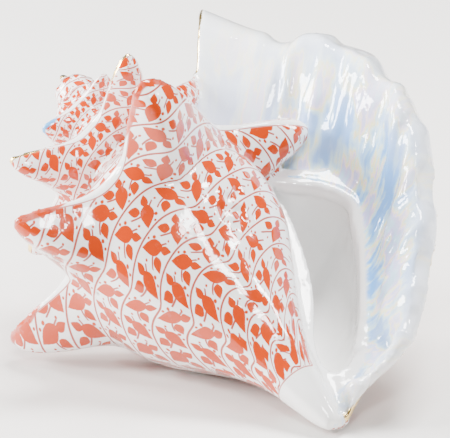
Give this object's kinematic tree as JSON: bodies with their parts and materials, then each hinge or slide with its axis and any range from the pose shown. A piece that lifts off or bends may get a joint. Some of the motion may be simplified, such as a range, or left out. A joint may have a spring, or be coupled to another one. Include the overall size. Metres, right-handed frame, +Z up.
{
  "type": "conch shell",
  "caption": "Spiny conch shell figurine of glazed porcelain with a tall spire and a wide fluted lip, lying on its side with its open mouth to the front.",
  "frame": {"origin": "centre of the bounding box in plan, on the surface the shell rests on", "axes": "+Z up as the shell lies, -Y towards the front from which the mouth is seen, +X towards the flared lip"},
  "size_m": [0.1233, 0.1389, 0.09],
  "materials": {
    "glazed_porcelain": null
  },
  "bodies": {
    "root": {"conch_shell": "glazed_porcelain"}
  },
  "joints": []
}
